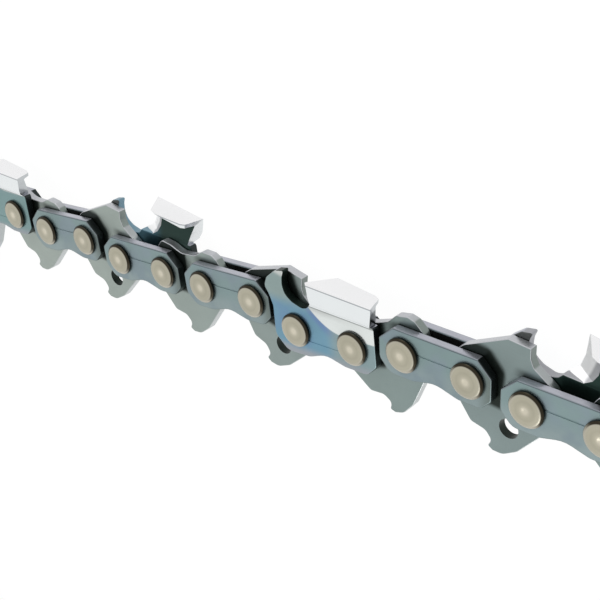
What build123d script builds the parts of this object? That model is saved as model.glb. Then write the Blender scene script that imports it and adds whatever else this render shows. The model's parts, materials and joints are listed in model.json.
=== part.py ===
from build123d import *
import os
from math import cos, pi, radians, sin

# Saw chain loop, lying flat: rivets stand along +Z, the cutters point out of the loop and the
# drive tangs point into it. All sizes are in millimetres and degrees.

# Loop
HALF_DRIVE_LINKS = 15       # drive links in half of the loop
DRIVE_PITCH = 8.57          # rivet to rivet on a drive link
SIDE_PITCH = 10.07          # rivet to rivet on a side link
RUN_LEANS = [3, -5, 5.5, -6.5, 3.5, 1, 4.5, -13, 3, 13, -0.5, -5.5, -0.5, 4]   # slack run, link by link
SHARP_TURN_JOINTS = 4       # joints that share the turn out of the slack run
WIDE_TURN = [29, 29, 12]    # turn into the opposite run, joint by joint

# Layers across the chain
DRIVE_GAUGE = 1.27          # drive link thickness
SIDE_CLEARANCE = 0.09       # drive link to side plate, each side
PLATE = 1.3                 # tie strap and cutter plate thickness
HEAD_HEIGHT = 0.64          # rivet head above the plate
HALF_KERF = 4.0             # outer corner of a cutter from the middle of the chain

# Rivets
HEAD_RADIUS = 2.5
HUB_RADIUS = 1.75
RUNNING_CLEARANCE = 0.06    # hub in the drive link's hole, on the flats
HEAD_SIDES = 8
HUB_SIDES = 5

# Tie strap and the lower part of a cutter, from the line through the rivets
PLATE_TOP = 3.41
LOBE_DEPTH = 3.5            # plate below each rivet
WAIST_DEPTH = 2.62          # plate below the rivets' line at mid length
STRAP_REACH = 3.85          # strap in front of its front rivet
CUTTER_REACH = 4.2          # cutter in front of its front rivet
PLATE_GAP = 0.95            # between a plate and the cutter behind it, along the drive link
UPPER_CUT = 2.1             # cut at the upper corners
LOWER_CUT = 1.8             # cut at the lower corners

# Cutter
GAUGE_HEIGHT = 8.7          # depth gauge above the rivets' line
GAUGE_NOSE = 1.2            # lean of the depth gauge in front of the plate
GAUGE_LENGTH = 3.9
GAUGE_SLOPE = 2             # length of the slope up the front of the depth gauge
GULLET_HEIGHT = 4.1
TOOTH_FRONT = 4.35          # outer front corner behind the front rivet
TOOTH_LENGTH = 10.5
TOOTH_FRONT_HEIGHT = 9.2
TOOTH_DROP = 1.55           # fall of the top plate towards the rear
TOOTH_LEAN = 14.5           # backward lean of the leading and trailing edges
BEND_HEIGHT = 4.6           # where the side plate starts to lean out
TOP_PLATE = 1.25
TOP_EDGE_ANGLE = 30         # sweep of the leading edge
REAR_EDGE_ANGLE = 20

# Drive link
END_RADIUS = 3.2            # round end about a rivet
END_FACETS = 2
EAR_HEIGHT = 4.4            # front corner of a plain drive link's top edge
EAR_REACH = 1.3             # that corner in front of the front rivet
SADDLE_HEIGHT = 3.35        # dip between the front corner and the crest
SADDLE_SETBACK = 2.8        # dip behind the front rivet
CREST_HEIGHT = 4.8          # crest over the rear rivet
CREST_FRONT = 1.7           # crest in front of the rear rivet
CREST_BACK = 0.4            # crest behind the rear rivet
RAMP_FOOT = 3.7             # height at the front of a bumper link's ramp
BUMPER_HEIGHT = 7.3
BUMPER_LENGTH = 3.05        # flat on the top of the bumper
BUMPER_SETBACK = 1.3        # bumper's rear in front of the rear rivet
TANG_DEPTH = 9.6
SHOULDER_DEPTH = 6.9
SCOOP_RADIUS = 2.7          # hollow in front of the tang
SCOOP_FACETS = 2
TIP_SETBACK = 3.35          # tang tip behind the front rivet
TANG_HEEL = 2.3             # flat on the bottom of the tang
OIL_HOLE_RADIUS = 1.3
OIL_HOLE_SIDES = 5
OIL_HOLE_DEPTH = 5.3        # below the rivets' line
OIL_HOLE_SETBACK = 2.6      # in front of the rear rivet

# Worked out from the sizes above
SLANT = 180 - sum(WIDE_TURN)   # turn from the slack run into the side of the loop
INNER_FACE = DRIVE_GAUGE / 2 + SIDE_CLEARANCE
OUTER_FACE = INNER_FACE + PLATE
REAR_REACH = DRIVE_PITCH - CUTTER_REACH - PLATE_GAP
HOLE_RADIUS = (HUB_RADIUS + RUNNING_CLEARANCE) / cos(pi / HUB_SIDES)


def arc_points(center, radius, start, end, facets):
    """Points along an arc, from angle start to angle end."""
    steps = [start + (end - start) * i / facets for i in range(facets + 1)]
    return [(center[0] + radius * cos(radians(a)), center[1] + radius * sin(radians(a))) for a in steps]


def slab(points, low, thickness):
    """Flat piece with the given outline, from height low upwards."""
    return Pos(0, 0, low) * extrude(make_face(Polyline(*points, close=True)), amount=thickness)


def prism(x, y, low, high, radius, sides):
    """Many-sided pin or hole cutter about (x, y)."""
    return Pos(x, y, low) * extrude(RegularPolygon(radius, sides), amount=high - low)


def lower_edge(reach):
    """Underside of a side plate, from the rear end to the front end."""
    rear = SIDE_PITCH + REAR_REACH
    return [
        (rear, LOWER_CUT - LOBE_DEPTH),
        (rear - LOWER_CUT, -LOBE_DEPTH),
        (SIDE_PITCH - LOWER_CUT, -LOBE_DEPTH),
        (SIDE_PITCH / 2, -WAIST_DEPTH),
        (LOWER_CUT, -LOBE_DEPTH),
        (LOWER_CUT - reach, -LOBE_DEPTH),
        (-reach, LOWER_CUT - LOBE_DEPTH),
    ]


def strap_outline():
    """Tie strap: straight top, cut corners, a lobe under each rivet."""
    rear = SIDE_PITCH + REAR_REACH
    upper = [
        (-STRAP_REACH, PLATE_TOP - UPPER_CUT),
        (UPPER_CUT - STRAP_REACH, PLATE_TOP),
        (rear - UPPER_CUT, PLATE_TOP),
        (rear, PLATE_TOP - UPPER_CUT),
    ]
    return upper + lower_edge(STRAP_REACH)


def cutter_outline():
    """Flat part of a cutter: depth gauge, gullet and the foot of the side plate."""
    nose = -CUTTER_REACH - GAUGE_NOSE
    gauge_back = nose + GAUGE_LENGTH
    upper = [
        (-CUTTER_REACH, PLATE_TOP),
        (nose, (GAUGE_HEIGHT + GULLET_HEIGHT) / 2 - GAUGE_NOSE),
        (gauge_back - GAUGE_SLOPE, GAUGE_HEIGHT),
        (gauge_back, GAUGE_HEIGHT),
        (gauge_back, (GAUGE_HEIGHT + GULLET_HEIGHT) / 2 - GAUGE_NOSE),
        (0, GULLET_HEIGHT),
        (TOOTH_FRONT, GULLET_HEIGHT),
        (SIDE_PITCH + REAR_REACH, BEND_HEIGHT - TOOTH_DROP),
    ]
    return upper + lower_edge(CUTTER_REACH)


def edge_block(x, height, sweep, side):
    """Block that trims a tooth on one side of an edge through its outer corner at (x, height)."""
    size = 4 * TOOTH_LENGTH
    block = Pos(side * size / 2, 0, 0) * Box(size, size, size)
    return Pos(x, height, HALF_KERF) * Rot(0, sweep, 0) * Rot(0, 0, -TOOTH_LEAN) * block


def tooth():
    """Side plate that leans out and the top plate bent over it, on the +Z side."""
    top = TOOTH_FRONT_HEIGHT
    foot = GULLET_HEIGHT - PLATE
    section = [
        (INNER_FACE, foot),
        (INNER_FACE, BEND_HEIGHT),
        (HALF_KERF - PLATE, top - TOP_PLATE),
        (0, top - TOP_PLATE),
        (0, top),
        (HALF_KERF, top),
        (OUTER_FACE, BEND_HEIGHT),
        (OUTER_FACE, foot),
    ]
    # the section is set across the chain and drawn out towards the rear, falling as it goes
    across = Plane(origin=(0, 0, 0), x_dir=(0, 0, 1), z_dir=(-1, 0, 0))
    fall = TOOTH_DROP / TOOTH_LENGTH
    length = 2 * TOOTH_LENGTH
    bar = extrude(across * make_face(Polyline(*section, close=True)), amount=length, dir=(length, -fall * length, 0))
    bar = Pos(0, fall * TOOTH_FRONT, 0) * bar
    bar -= edge_block(TOOTH_FRONT, top, TOP_EDGE_ANGLE, -1)
    return bar - edge_block(TOOTH_FRONT + TOOTH_LENGTH, top - TOOTH_DROP, REAR_EDGE_ANGLE, 1)


def side_link(near, far):
    """Two side plates riveted together: near and far are their outlines."""
    link = slab(near, INNER_FACE, PLATE) + slab(far, -OUTER_FACE, PLATE)
    head_top = OUTER_FACE + HEAD_HEIGHT
    for x in (0, SIDE_PITCH):
        link += prism(x, 0, -INNER_FACE, INNER_FACE, HUB_RADIUS, HUB_SIDES)
        link += prism(x, 0, OUTER_FACE, head_top, HEAD_RADIUS, HEAD_SIDES)
        link += prism(x, 0, -head_top, -OUTER_FACE, HEAD_RADIUS, HEAD_SIDES)
    return link


def drive_outline(crest):
    """Drive link: round ends, the given top edge, and a hooked tang below."""
    tip = (TIP_SETBACK, -TANG_DEPTH)
    heel = (TIP_SETBACK + TANG_HEEL, -TANG_DEPTH)
    scoop = (TIP_SETBACK - SCOOP_RADIUS, -SHOULDER_DEPTH - SCOOP_RADIUS)
    front_end = arc_points((0, 0), END_RADIUS, 225, 135, END_FACETS)
    rear_end = arc_points((DRIVE_PITCH, 0), END_RADIUS, 45, -45, END_FACETS)
    hollow = arc_points(scoop, SCOOP_RADIUS, 0, 90, SCOOP_FACETS)
    return front_end + crest + rear_end + [heel, tip] + hollow[1:]


def plain_crest():
    """Top edge with a corner at the front, a dip and a crest over the rear rivet."""
    return [
        (-EAR_REACH, EAR_HEIGHT),
        (SADDLE_SETBACK, SADDLE_HEIGHT),
        (DRIVE_PITCH - CREST_FRONT, CREST_HEIGHT),
        (DRIVE_PITCH + CREST_BACK, CREST_HEIGHT),
    ]


def bumper_crest():
    """Top edge with a ramp up to the bumper and a steep drop behind it."""
    back = DRIVE_PITCH - BUMPER_SETBACK
    return [
        (-EAR_REACH, RAMP_FOOT),
        (back - BUMPER_LENGTH, BUMPER_HEIGHT),
        (back, BUMPER_HEIGHT),
        (back, CREST_HEIGHT),
    ]


def drive_link(crest):
    """Drive link with a hole for each rivet hub."""
    link = slab(drive_outline(crest), -DRIVE_GAUGE / 2, DRIVE_GAUGE)
    for x in (0, DRIVE_PITCH):
        link -= prism(x, 0, -DRIVE_GAUGE, DRIVE_GAUGE, HOLE_RADIUS, HUB_SIDES)
    return link


def oil_hole():
    """Cutter for the oil hole in the tang of a bumper link."""
    x = DRIVE_PITCH - OIL_HOLE_SETBACK
    return prism(x, -OIL_HOLE_DEPTH, -DRIVE_GAUGE, DRIVE_GAUGE, OIL_HOLE_RADIUS, OIL_HOLE_SIDES)


def loop_places():
    """Front rivet and heading of every link, about the middle of the loop."""
    half = 2 * HALF_DRIVE_LINKS
    side_links = half - len(RUN_LEANS) - SHARP_TURN_JOINTS - len(WIDE_TURN) + 2
    sharp = [-SLANT * (i + 1) / SHARP_TURN_JOINTS for i in range(SHARP_TURN_JOINTS - 1)]
    wide = [-SLANT - sum(WIDE_TURN[:i + 1]) for i in range(len(WIDE_TURN) - 1)]
    headings = RUN_LEANS + sharp + [-SLANT] * side_links + wide
    headings += [angle - 180 for angle in headings]
    places = []
    x = y = 0
    for i, heading in enumerate(headings):
        length = DRIVE_PITCH if i % 2 else SIDE_PITCH
        places.append((x, y, heading))
        x += length * cos(radians(heading))
        y += length * sin(radians(heading))
    mid_x, mid_y = places[half][0] / 2, places[half][1] / 2
    return [(px - mid_x, py - mid_y, heading) for px, py, heading in places]


near_cutter = side_link(cutter_outline(), strap_outline()) + tooth()
far_cutter = mirror(near_cutter, about=Plane.XY)
straps = side_link(strap_outline(), strap_outline())
plain = drive_link(plain_crest())
bumper = drive_link(bumper_crest()) - oil_hole()
side_kinds = [("near_cutter_link", near_cutter), ("strap_link", straps),
              ("far_cutter_link", far_cutter), ("strap_link", straps)]
drive_kinds = [("drive_link", plain), ("bumper_drive_link", bumper)]

os.makedirs("parts", exist_ok=True)
for i, (x, y, heading) in enumerate(loop_places()):
    kinds = drive_kinds if i % 2 else side_kinds
    kind, shape = kinds[i // 2 % len(kinds)]
    placed = Pos(x, y, HALF_KERF) * Rot(0, 0, heading) * shape
    export_step(placed, f"parts/{kind}_{i // 2:02d}.step")
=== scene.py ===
import json
import logging
import math
from dataclasses import dataclass, field
from enum import Enum, IntEnum
from functools import partial, reduce

import bpy
from mathutils import Matrix, Vector

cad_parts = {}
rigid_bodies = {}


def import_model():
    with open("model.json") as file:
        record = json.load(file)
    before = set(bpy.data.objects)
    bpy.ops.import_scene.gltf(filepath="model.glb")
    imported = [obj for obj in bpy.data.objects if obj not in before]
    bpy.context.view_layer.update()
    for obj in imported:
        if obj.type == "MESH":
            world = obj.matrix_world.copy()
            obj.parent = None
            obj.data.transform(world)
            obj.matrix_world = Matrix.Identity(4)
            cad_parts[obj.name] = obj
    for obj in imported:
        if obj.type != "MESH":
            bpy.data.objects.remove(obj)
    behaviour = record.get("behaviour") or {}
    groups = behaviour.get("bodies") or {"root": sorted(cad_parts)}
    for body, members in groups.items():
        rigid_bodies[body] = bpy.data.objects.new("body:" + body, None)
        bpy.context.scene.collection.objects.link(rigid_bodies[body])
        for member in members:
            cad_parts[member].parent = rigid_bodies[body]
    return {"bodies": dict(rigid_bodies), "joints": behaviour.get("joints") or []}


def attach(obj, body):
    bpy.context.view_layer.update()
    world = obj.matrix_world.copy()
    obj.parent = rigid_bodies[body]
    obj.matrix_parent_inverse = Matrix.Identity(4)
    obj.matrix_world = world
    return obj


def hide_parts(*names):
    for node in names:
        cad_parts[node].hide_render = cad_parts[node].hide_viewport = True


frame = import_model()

log = logging.getLogger("saw_chain")

MM = 0.001
PLACE, FACING = "link_place", "link_facing"  # what a piece notes for its paint
MIDDLE_RIVET = 7  # of the run in the picture
NEAR_EVERY = 4  # side links from one near cutter to the next

Point = tuple[float, float]
Corner = tuple[float, float, float]
Corners = tuple[Corner, ...]
Colour = tuple[float, float, float, float]
Piece = bpy.types.Object
Tree = bpy.types.NodeTree
Socket = bpy.types.NodeSocket
Axes = tuple[Socket, Socket, Socket]
Value = Socket | float
Paint = Socket | Colour


class Side(Enum):
    """Which face of the chain a plate lies on."""

    NEAR = 1
    FAR = -1


class LinkKind(Enum):
    """The links that follow each other round the loop."""

    NEAR_CUTTER = "near_cutter_link"
    FAR_CUTTER = "far_cutter_link"
    STRAP = "strap_link"
    PLAIN_DRIVE = "drive_link"
    BUMPER_DRIVE = "bumper_drive_link"


class Zone(IntEnum):
    """Material slots of a plate."""

    OUTSIDE = 0
    INSIDE = 1
    EDGE = 2
    GULLET = 3
    CHROME = 4
    GROUND = 5


@dataclass(frozen=True)
class Layers:
    """Heights across the chain, from its middle plane, and pitches, in millimetres."""

    drive_half: float = 0.635
    inner_face: float = 0.725
    outer_face: float = 2.025
    head_top: float = 2.665
    drive_pitch: float = 8.57
    side_pitch: float = 10.07


LAYERS = Layers()


def rounded(corners: Corners, step: float = 12.0, share: float = 0.49) -> list[Point]:
    """Round the corners of an outline.

    Args:
        corners: x, y and corner radius, in millimetres.
        step: largest turn between two points of an arc, in degrees.
        share: largest share of an edge that a corner may take.

    Returns:
        The outline's points, counter-clockwise.
    """
    sharp, straight = 1e-4, 1e-3  # radius in millimetres and turn in radians of a corner that stays plain
    points: list[Point] = []
    for i, (x, y, radius) in enumerate(corners):
        here = Vector((x, y))
        back = Vector(corners[i - 1][:2]) - here
        ahead = Vector(corners[(i + 1) % len(corners)][:2]) - here
        turn = math.pi - back.angle(ahead)
        reach = radius * math.tan(turn / 2)
        limit = share * min(back.length, ahead.length)
        if reach > limit:
            radius *= limit / reach
            reach = limit
        if radius < sharp or turn < straight:
            points.append((x, y))
            continue
        start = here + back.normalized() * reach
        middle = here + (back.normalized() + ahead.normalized()).normalized() * (radius / math.cos(turn / 2))
        sign = 1 if back.x * ahead.y - back.y * ahead.x < 0 else -1
        pieces = max(1, math.ceil(math.degrees(turn) / step))
        for k in range(pieces + 1):
            spoke = Matrix.Rotation(sign * turn * k / pieces, 2) @ (start - middle)
            points.append(tuple(middle + spoke))
    area = sum(a[0] * b[1] - b[0] * a[1] for a, b in zip(points, points[1:] + points[:1]))
    return points if area > 0 else points[::-1]


def new_object(name: str, data: bpy.types.ID) -> Piece:
    """Put a new object into the scene.

    Args:
        name: the object's name.
        data: its mesh, camera or lamp.

    Returns:
        The object.
    """
    made = bpy.data.objects.new(name, data)
    bpy.context.scene.collection.objects.link(made)
    return made


class Workbench:
    """Shop tools that drive Blender's operators on one piece at a time."""

    DRILL_SIDES = 40
    DRILL_LENGTH = 20.0

    @staticmethod
    def open() -> None:
        """Enter edit mode."""
        bpy.ops.object.mode_set(mode="EDIT")

    @staticmethod
    def close() -> None:
        """Leave edit mode."""
        bpy.ops.object.mode_set(mode="OBJECT")

    @classmethod
    def clear(cls) -> None:
        """Leave edit mode and deselect everything."""
        if bpy.context.mode != "OBJECT":
            cls.close()
        bpy.ops.object.select_all(action="DESELECT")

    @classmethod
    def take(cls, piece: Piece) -> None:
        """Make one piece the only selected and the active one.

        Args:
            piece: the piece to work on.
        """
        cls.clear()
        piece.select_set(True)
        bpy.context.view_layer.objects.active = piece

    @classmethod
    def pick(cls, piece: Piece, vertex: int) -> None:
        """Enter edit mode with only one vertex selected.

        Args:
            piece: the piece to work on.
            vertex: the vertex's number.
        """
        cls.take(piece)
        cls.open()
        bpy.ops.mesh.select_mode(type="VERT")
        bpy.ops.mesh.select_all(action="DESELECT")
        cls.close()
        piece.data.vertices[vertex].select = True
        cls.open()

    @classmethod
    def whole(cls, piece: Piece) -> None:
        """Enter edit mode with all of a piece selected.

        Args:
            piece: the piece to work on.
        """
        cls.take(piece)
        cls.open()
        bpy.ops.mesh.select_all(action="SELECT")

    @staticmethod
    def nearest(piece: Piece, place: Vector) -> int:
        """The vertex nearest to a place in millimetres."""
        return min(range(len(piece.data.vertices)), key=lambda i: (piece.data.vertices[i].co - place * MM).length)

    @classmethod
    def shift(cls, piece: Piece, before: list[Vector], after: list[Vector]) -> None:
        """Move the vertices at some places to other places.

        Args:
            piece: the piece to work on.
            before: where the vertices are, in millimetres.
            after: where each of them goes.
        """
        spots = [cls.nearest(piece, place) for place in before]
        steps = [place * MM - piece.data.vertices[i].co for i, place in zip(spots, after)]
        for i, step in zip(spots, steps):
            cls.pick(piece, i)
            bpy.ops.transform.translate(value=step)
        cls.close()

    @classmethod
    def trace(cls, name: str, points: list[Vector]) -> Piece:
        """Draw a line by extruding one vertex from point to point, and stay in edit mode.

        Args:
            name: the new object's name.
            points: places in millimetres.

        Returns:
            The new object, with all of its vertices selected.
        """
        cls.clear()
        bpy.ops.mesh.primitive_plane_add(size=MM)
        piece = bpy.context.object
        piece.name = name
        cls.open()
        bpy.ops.mesh.select_mode(type="VERT")
        bpy.ops.mesh.select_all(action="SELECT")
        bpy.ops.mesh.merge(type="CENTER")
        bpy.ops.transform.translate(value=points[0] * MM)
        for before, after in zip(points, points[1:]):
            bpy.ops.mesh.extrude_vertices_move(TRANSFORM_OT_translate={"value": (after - before) * MM})
        bpy.ops.mesh.select_all(action="SELECT")
        return piece

    @classmethod
    def sheet(cls, name: str, outline: list[Point], height: float) -> Piece:
        """Trace a closed outline and fill it, facing up.

        Args:
            name: the new object's name.
            outline: its points, in millimetres.
            height: of the sheet, in millimetres.

        Returns:
            The sheet.
        """
        piece = cls.trace(name, [Vector((x, y, height)) for x, y in outline])
        bpy.ops.mesh.edge_face_add()
        cls.close()
        if piece.data.polygons[0].normal.z < 0:
            cls.open()
            bpy.ops.mesh.flip_normals()
            cls.close()
        return piece

    @classmethod
    def apply(cls, piece: Piece, kind: str, **settings: object) -> None:
        """Add a modifier and apply it.

        Args:
            piece: the piece to work on.
            kind: the modifier's type.
            settings: the modifier's properties.
        """
        cls.take(piece)
        modifier = piece.modifiers.new(kind.lower(), kind)
        for key, value in settings.items():
            setattr(modifier, key, value)
        bpy.ops.object.modifier_apply(modifier=modifier.name)

    @classmethod
    def thicken(cls, piece: Piece, thickness: float) -> None:
        """Give a sheet its thickness, with its slots outside, inside and on the cut edges."""
        cls.apply(piece, "SOLIDIFY", thickness=thickness * MM, offset=-1, use_even_offset=True,
                  material_offset=Zone.INSIDE.value, material_offset_rim=Zone.EDGE.value)

    @classmethod
    def soften(cls, piece: Piece, width: float, angle: float) -> None:
        """Break the edges that are sharper than an angle in degrees."""
        cls.apply(piece, "BEVEL", width=width * MM, segments=2, limit_method="ANGLE",
                  angle_limit=math.radians(angle), material=Zone.EDGE.value)

    @classmethod
    def combine(cls, piece: Piece, tool: Piece, operation: str = "DIFFERENCE") -> None:
        """Take a tool's shape out of a piece or join it on, and put the tool away."""
        cls.apply(piece, "BOOLEAN", operation=operation, solver="EXACT", object=tool)
        bpy.data.objects.remove(tool)

    @classmethod
    def drill(cls, piece: Piece, x: float, y: float, radius: float) -> None:
        """Bore a round hole along Z.

        Args:
            piece: the piece to work on.
            x: the hole's place along the link, in millimetres.
            y: its place across the link.
            radius: of the hole.
        """
        cls.clear()
        bpy.ops.mesh.primitive_cylinder_add(vertices=cls.DRILL_SIDES, radius=radius * MM, depth=cls.DRILL_LENGTH * MM,
                                            location=(x * MM, y * MM, 0))
        cls.combine(piece, bpy.context.object)

    @classmethod
    def finish(cls, piece: Piece, angle: float = 20) -> Piece:
        """Shade a piece, and note each vertex's place and each corner's facing for the paint to read.

        Args:
            piece: the piece to finish, in its link's own frame.
            angle: largest turn that is shaded smooth, in degrees.

        Returns:
            The same piece.
        """
        cls.take(piece)
        bpy.ops.object.shade_smooth_by_angle(angle=math.radians(angle))
        mesh = piece.data
        place = mesh.attributes.new(PLACE, "FLOAT_VECTOR", "POINT")
        place.data.foreach_set("vector", [c / MM for vertex in mesh.vertices for c in vertex.co])
        facing = mesh.attributes.new(FACING, "FLOAT_VECTOR", "CORNER")
        facing.data.foreach_set("vector", [c for normal in mesh.corner_normals for c in normal.vector])
        return piece


@dataclass(frozen=True)
class Coat:
    """A colour that sets in along a value, such as a place in millimetres or a facing from -1 to 1.

    Attributes:
        colour: of the coat.
        start: value where it begins to show.
        full: value from which it covers what is below.
    """

    colour: Colour
    start: float
    full: float


class NodeBoard:
    """Short ways to add and join shader nodes in one tree."""

    def __init__(self, tree: Tree) -> None:
        """Start with an empty tree."""
        self.tree = tree
        tree.nodes.clear()

    @classmethod
    def of(cls, owner: bpy.types.Material | bpy.types.World) -> "NodeBoard":
        """The board of a material or a world."""
        owner.use_nodes = True
        return cls(owner.node_tree)

    def add(self, kind: str, inputs: dict[str | int, object] | None = None, **settings: object) -> bpy.types.Node:
        """Add a node.

        Args:
            kind: the node's type.
            inputs: a value, or a socket to join, for each input by its name or number.
            settings: the node's properties.

        Returns:
            The node.
        """
        node = self.tree.nodes.new(kind)
        for key, value in settings.items():
            setattr(node, key, value)
        for key, value in (inputs or {}).items():
            if isinstance(value, Socket):
                self.tree.links.new(value, node.inputs[key])
            else:
                node.inputs[key].default_value = value
        return node

    def math(self, operation: str, *values: Value) -> Socket:
        """A Math node's result."""
        return self.add("ShaderNodeMath", dict(enumerate(values)), operation=operation).outputs[0]

    def minus(self, a: Value, b: Value) -> Socket:
        """One value less another."""
        return self.math("SUBTRACT", a, b)

    def line(self, value: Value, slope: Value, start: Value) -> Socket:
        """A start, and a slope times a value on top."""
        return self.math("MULTIPLY_ADD", value, slope, start)

    def both(self, *masks: Value) -> Value:
        """Where all of the masks are."""
        return reduce(partial(self.math, "MULTIPLY"), masks)

    def either(self, *masks: Value) -> Value:
        """Where any of the masks is."""
        return reduce(partial(self.math, "MAXIMUM"), masks)

    def ramp(self, value: Value, low: float, high: float) -> Socket:
        """A smooth step from 0 at low to 1 at high."""
        inputs = {"Value": value, "From Min": low, "From Max": high}
        return self.add("ShaderNodeMapRange", inputs, interpolation_type="SMOOTHSTEP").outputs["Result"]

    def mix(self, share: Value, a: Paint, b: Paint, blend: str = "MIX") -> Socket:
        """A mix of two colours."""
        return self.add("ShaderNodeMix", {0: share, 6: a, 7: b}, data_type="RGBA", blend_type=blend).outputs[2]

    def coats(self, body: Paint, *coats: tuple) -> Paint:
        """Lay coats over one another.

        Args:
            body: the colour below them.
            coats: for each the value that it follows, the coat, and any masks that keep it to a place.

        Returns:
            The colour with all of them on.
        """
        for value, coat, *masks in coats:
            body = self.mix(self.both(self.ramp(value, coat.start, coat.full), *masks), body, coat.colour)
        return body

    def where(self) -> Socket:
        """The place in the whole part, in metres."""
        return self.add("ShaderNodeTexCoord").outputs["Object"]

    def noise(self, vector: Socket, scale: float, detail: float = 2) -> Socket:
        """A noise texture's value."""
        return self.add("ShaderNodeTexNoise", {"Vector": vector, "Scale": scale, "Detail": detail}).outputs["Fac"]

    def waves(self, length: float, start: float) -> Socket:
        """Waves along the part's X axis, from 0 at their start to 1 half a length on, in metres."""
        turn = self.math("MULTIPLY", self.minus(self.split(self.where())[0], start), 2 * math.pi / length)
        return self.line(self.math("COSINE", turn), -0.5, 0.5)

    def grey(self, value: Socket) -> Socket:
        """A value as a grey colour."""
        return self.add("ShaderNodeCombineColor", dict.fromkeys(("Red", "Green", "Blue"), value)).outputs["Color"]

    def noted(self, attribute: str) -> Socket:
        """A vector that the piece has noted."""
        return self.add("ShaderNodeAttribute", attribute_name=attribute).outputs["Vector"]

    def split(self, vector: Socket) -> Axes:
        """The three parts of a vector."""
        return tuple(self.add("ShaderNodeSeparateXYZ", {0: vector}).outputs)

    def place(self) -> Axes:
        """The place on the link, in millimetres."""
        return self.split(self.noted(PLACE))

    def facing(self) -> Axes:
        """The way that the surface faces on the link: to the rear, out of the loop and to the near side."""
        return self.split(self.noted(FACING))


def linear(red: int, green: int, blue: int) -> Colour:
    """A screen colour of 0 to 255 as the linear colour that a shader takes."""
    parts = [c / 255 for c in (red, green, blue)]
    return tuple(c / 12.92 if c <= 0.04045 else ((c + 0.055) / 1.055) ** 2.4 for c in parts) + (1.0,)


def rolled_surface() -> Tree:
    """Shared effect: faint blotches, pits and streaks of rolled and tumbled steel.

    Returns:
        The node group.
    """
    group = bpy.data.node_groups.new("rolled_surface", "ShaderNodeTree")
    for name, value in (("Blotch", 0.1), ("Streak", 0.1), ("Roughness", 0.35)):
        socket = group.interface.new_socket(name, in_out="INPUT", socket_type="NodeSocketFloat")
        socket.default_value = value
    for name in ("Tone", "Roughness", "Height"):
        group.interface.new_socket(name, in_out="OUTPUT", socket_type="NodeSocketFloat")
    board = NodeBoard(group)
    given = board.add("NodeGroupInput").outputs
    broad, fine = board.noise(board.where(), 190, 4), board.noise(board.where(), 1500, 3)
    brushed = board.add("ShaderNodeMapping", {"Vector": board.noted(PLACE), "Scale": (0.5, 9.0, 9.0)})
    lines = board.noise(brushed.outputs["Vector"], 1.0)
    blotches = board.line(board.minus(broad, 0.5), given["Blotch"], 1.0)
    board.add("NodeGroupOutput", {
        "Tone": board.line(board.minus(lines, 0.5), given["Streak"], blotches),
        "Roughness": board.line(board.minus(fine, 0.5), 0.12, given["Roughness"]),
        "Height": board.math("ADD", fine, broad),
    })
    return group


@dataclass(frozen=True)
class SteelFinish:
    """A steel finish, faintly blotched and streaked.

    Attributes:
        name: the material's name.
        colour: main colour.
        roughness: mean roughness.
        metallic: share of metal.
        blotch: strength of the blotches.
        streak: strength of the streaks along the link.
        bump: strength of the pits.
        pit: depth of the pits, in metres.
        wave: length and start of a slow change along the part, in metres.
    """

    name: str
    colour: Colour
    roughness: float = 0.38
    metallic: float = 0.85
    blotch: float = 0.25
    streak: float = 0.06
    bump: float = 0.12
    pit: float = 0.00004
    wave: Point = (0.148, 0.032)

    def drift(self, board: NodeBoard) -> Socket:
        """How far a link has changed, from 0 to 1."""
        return board.waves(*self.wave)

    def paint(self, board: NodeBoard) -> Paint:
        """The colour over the surface, before blotches."""
        return self.colour

    def gloss(self, board: NodeBoard, roughness: Socket) -> Socket:
        """The roughness over the surface."""
        return roughness

    def make(self, surface: Tree) -> bpy.types.Material:
        """Build the material.

        Args:
            surface: the shared rolled surface effect.

        Returns:
            The material.
        """
        material = bpy.data.materials.new(self.name)
        board = NodeBoard.of(material)
        given = {"Blotch": self.blotch, "Streak": self.streak, "Roughness": self.roughness}
        effect = board.add("ShaderNodeGroup", given, node_tree=surface).outputs
        pits = {"Strength": self.bump, "Distance": self.pit, "Height": effect["Height"]}
        shader = board.add("ShaderNodeBsdfPrincipled", {
            "Metallic": self.metallic,
            "Base Color": board.mix(1.0, self.paint(board), board.grey(effect["Tone"]), "MULTIPLY"),
            "Roughness": self.gloss(board, effect["Roughness"]),
            "Normal": board.add("ShaderNodeBump", pits).outputs["Normal"],
        })
        board.add("ShaderNodeOutputMaterial", {"Surface": shader.outputs["BSDF"]})
        return material


@dataclass(frozen=True)
class PlateFinish(SteelFinish):
    """Blued outer face of a tie strap.

    Attributes:
        low: paler, below the rivets.
        temper: bluer, in patches.
        rear: darker, at the rear end.
        light: painted light on a wall that faces up.
        dark: painted shade on a wall that faces down.
        patch: scale of the patches.
    """

    low: Coat = Coat(linear(142, 157, 158), 0.4, -2.4)
    temper: Coat = Coat(linear(130, 146, 152), 0.42, 0.68)
    rear: Coat = Coat(linear(108, 119, 115), 11.0, 13.6)
    light: Coat = Coat(linear(160, 172, 174), 0.3, 0.6)
    dark: Coat = Coat(linear(66, 80, 82), -0.3, -0.6)
    patch: float = 260

    def paint(self, board: NodeBoard) -> Paint:
        """Teal that pales downwards, with painted light and shade on the channel walls.

        Args:
            board: the material's board.

        Returns:
            The colour over the surface.
        """
        x, y, _ = board.place()
        _, up, _ = board.facing()
        patches = board.noise(board.where(), self.patch)
        return board.coats(self.colour, (y, self.low), (patches, self.temper), (x, self.rear), (up, self.light),
                           (up, self.dark))


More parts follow.
